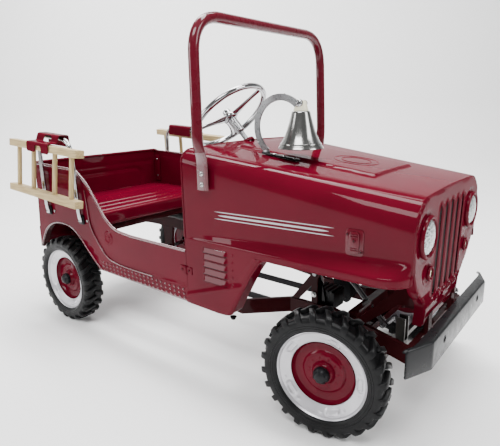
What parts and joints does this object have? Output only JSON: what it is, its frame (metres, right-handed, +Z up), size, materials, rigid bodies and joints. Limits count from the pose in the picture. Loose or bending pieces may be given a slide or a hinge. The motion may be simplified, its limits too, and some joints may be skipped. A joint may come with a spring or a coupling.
{
  "type": "pedal car",
  "caption": "Child's pressed-steel pedal car with open tub, bench seat, tapered hood, tubular windshield hoop, bell, side ladders, steered front wheels and pedal drive.",
  "frame": {"origin": "on the ground under the middle of the whole car", "axes": "+X towards the front bumper, +Y towards the car's left side, +Z up"},
  "size_m": [0.971, 0.4812, 0.639],
  "materials": {
    "red_paint": "deep glossy crimson enamel",
    "chassis_paint": "duller brown-red paint",
    "black_paint": "gloss black",
    "chrome": "polished",
    "steel": "plain plated",
    "tyre": "solid black rubber",
    "rim_paint": "light grey-white paint",
    "pedal_rubber": "ribbed",
    "wood": "plain pale wood",
    "lens": "moulded clear lens",
    "amber_lens": "moulded pale yellow lens"
  },
  "bodies": {
    "car": {"rear_tub": "red_paint", "seat_panel": "red_paint", "cowl_hood": "red_paint", "grille_panel": "red_paint", "windshield_hoop": "red_paint", "hood_latch_right": "red_paint", "hood_latch_left": "red_paint", "headlight_lens_right": "lens", "headlight_lens_left": "lens", "marker_lens_right": "amber_lens", "marker_lens_left": "amber_lens", "front_bumper": "black_paint", "rear_bumperette_right": "black_paint", "rear_bumperette_left": "black_paint", "frame_rear_bend": "chassis_paint", "front_cross_member": "chassis_paint", "front_axle_beam": "chassis_paint", "frame_rail_right": "chassis_paint", "frame_rail_left": "chassis_paint", "nose_brace_right": "chassis_paint", "nose_brace_left": "chassis_paint", "pedal_bracket_right": "chassis_paint", "pedal_bracket_left": "chassis_paint", "rear_axle_hanger_right": "chassis_paint", "rear_axle_hanger_left": "chassis_paint", "shaft_lower_bearing": "chassis_paint", "ladder_rack_right": "chrome", "ladder_rack_left": "chrome", "pedal_shaft": "steel", "bell_bracket": "steel"},
    "steering": {"steering_wheel": "chrome", "steering_shaft": "steel"},
    "knuckle_right": {"steering_knuckle_right": "chassis_paint"},
    "knuckle_left": {"steering_knuckle_left": "chassis_paint"},
    "tie_rod": {"tie_rod": "steel"},
    "front_wheel_right": {"tyre_front_right": "tyre", "wheel_disc_front_right": "rim_paint", "hub_cap_front_right": "black_paint"},
    "front_wheel_left": {"tyre_front_left": "tyre", "wheel_disc_front_left": "rim_paint", "hub_cap_front_left": "black_paint"},
    "rear_axle": {"rear_axle": "steel", "tyre_rear_right": "tyre", "wheel_disc_rear_right": "rim_paint", "hub_cap_rear_right": "black_paint"},
    "rear_wheel_left": {"tyre_rear_left": "tyre", "wheel_disc_rear_left": "rim_paint", "hub_cap_rear_left": "black_paint"},
    "pedal_right": {"pedal_arm_right": "black_paint", "pedal_block_right": "pedal_rubber"},
    "pedal_left": {"pedal_arm_left": "black_paint", "pedal_block_left": "pedal_rubber"},
    "drive_rod_right": {"drive_rod_right": "black_paint"},
    "drive_rod_left": {"drive_rod_left": "black_paint"},
    "bell": {"bell": "chrome"},
    "clapper": {"bell_clapper": "steel"},
    "ladder_right": {"ladder_right": "wood", "ladder_saddle_right": "red_paint"},
    "ladder_left": {"ladder_left": "wood", "ladder_saddle_left": "red_paint"}
  },
  "joints": [
    {"name": "steering_turn", "type": "hinge", "parent": "car", "child": "steering", "pos_m": [0.0065, 0, 0.468], "axis": [-0.6972, 0, 0.7169], "range_deg": [-62.6, 25.4]},
    {"name": "knuckle_right_steer", "type": "hinge", "parent": "car", "child": "knuckle_right", "pos_m": [0.3355, -0.142, 0.1], "axis": [0, 0, 1], "range_deg": [-31.5, 12.9]},
    {"name": "knuckle_left_steer", "type": "hinge", "parent": "car", "child": "knuckle_left", "pos_m": [0.3355, 0.142, 0.1], "axis": [0, 0, 1], "range_deg": [-31.5, 12.9]},
    {"name": "tie_rod_pivot", "type": "hinge", "parent": "knuckle_left", "child": "tie_rod", "pos_m": [0.38287, 0.14976, 0.08], "axis": [0, 0, 1], "range_deg": [-12.9, 31.5]},
    {"name": "front_wheel_right_spin", "type": "hinge", "parent": "knuckle_right", "child": "front_wheel_right", "pos_m": [0.34287, -0.187, 0.1], "axis": [-0.1616, 0.9869, 0], "continuous": true},
    {"name": "front_wheel_left_spin", "type": "hinge", "parent": "knuckle_left", "child": "front_wheel_left", "pos_m": [0.32813, 0.187, 0.1], "axis": [-0.1616, 0.9869, 0], "continuous": true},
    {"name": "rear_axle_spin", "type": "hinge", "parent": "car", "child": "rear_axle", "pos_m": [-0.3435, 0, 0.1], "axis": [0, 1, 0], "continuous": true},
    {"name": "rear_wheel_left_spin", "type": "hinge", "parent": "rear_axle", "child": "rear_wheel_left", "pos_m": [-0.3435, 0.187, 0.1], "axis": [0, 1, 0], "continuous": true},
    {"name": "pedal_right_swing", "type": "hinge", "parent": "car", "child": "pedal_right", "pos_m": [0.2505, -0.0535, 0.198], "axis": [0, 1, 0], "range_deg": [-18, 18]},
    {"name": "pedal_left_swing", "type": "hinge", "parent": "car", "child": "pedal_left", "pos_m": [0.2505, 0.0535, 0.198], "axis": [0, 1, 0], "range_deg": [-18, 18]},
    {"name": "drive_rod_right_pivot", "type": "hinge", "parent": "pedal_right", "child": "drive_rod_right", "pos_m": [0.2565, -0.049, 0.114], "axis": [0, 1, 0], "range_deg": [-18, 18]},
    {"name": "drive_rod_left_pivot", "type": "hinge", "parent": "pedal_left", "child": "drive_rod_left", "pos_m": [0.2565, 0.049, 0.114], "axis": [0, 1, 0], "range_deg": [-18, 18]},
    {"name": "bell_swing", "type": "hinge", "parent": "car", "child": "bell", "pos_m": [0.23, -0.08, 0.4915], "axis": [0, 1, 0], "range_deg": [-8, 8]},
    {"name": "clapper_swing", "type": "hinge", "parent": "bell", "child": "clapper", "pos_m": [0.23, -0.08, 0.473], "axis": [0, 1, 0], "range_deg": [-20, 20]},
    {"name": "ladder_right_lift", "type": "slide", "parent": "car", "child": "ladder_right", "axis": [0, 0, 1], "range_m": [0, 0.05]},
    {"name": "ladder_left_lift", "type": "slide", "parent": "car", "child": "ladder_left", "axis": [0, 0, 1], "range_m": [0, 0.05]}
  ],
  "couplings": [
    {"joint": "knuckle_right_steer", "follows": "steering_turn", "ratio": 0.5},
    {"joint": "knuckle_left_steer", "follows": "steering_turn", "ratio": 0.5},
    {"joint": "tie_rod_pivot", "follows": "steering_turn", "ratio": -0.5},
    {"joint": "pedal_left_swing", "follows": "pedal_right_swing", "ratio": -1},
    {"joint": "drive_rod_right_pivot", "follows": "pedal_right_swing", "ratio": -1},
    {"joint": "drive_rod_left_pivot", "follows": "pedal_right_swing", "ratio": 1}
  ]
}
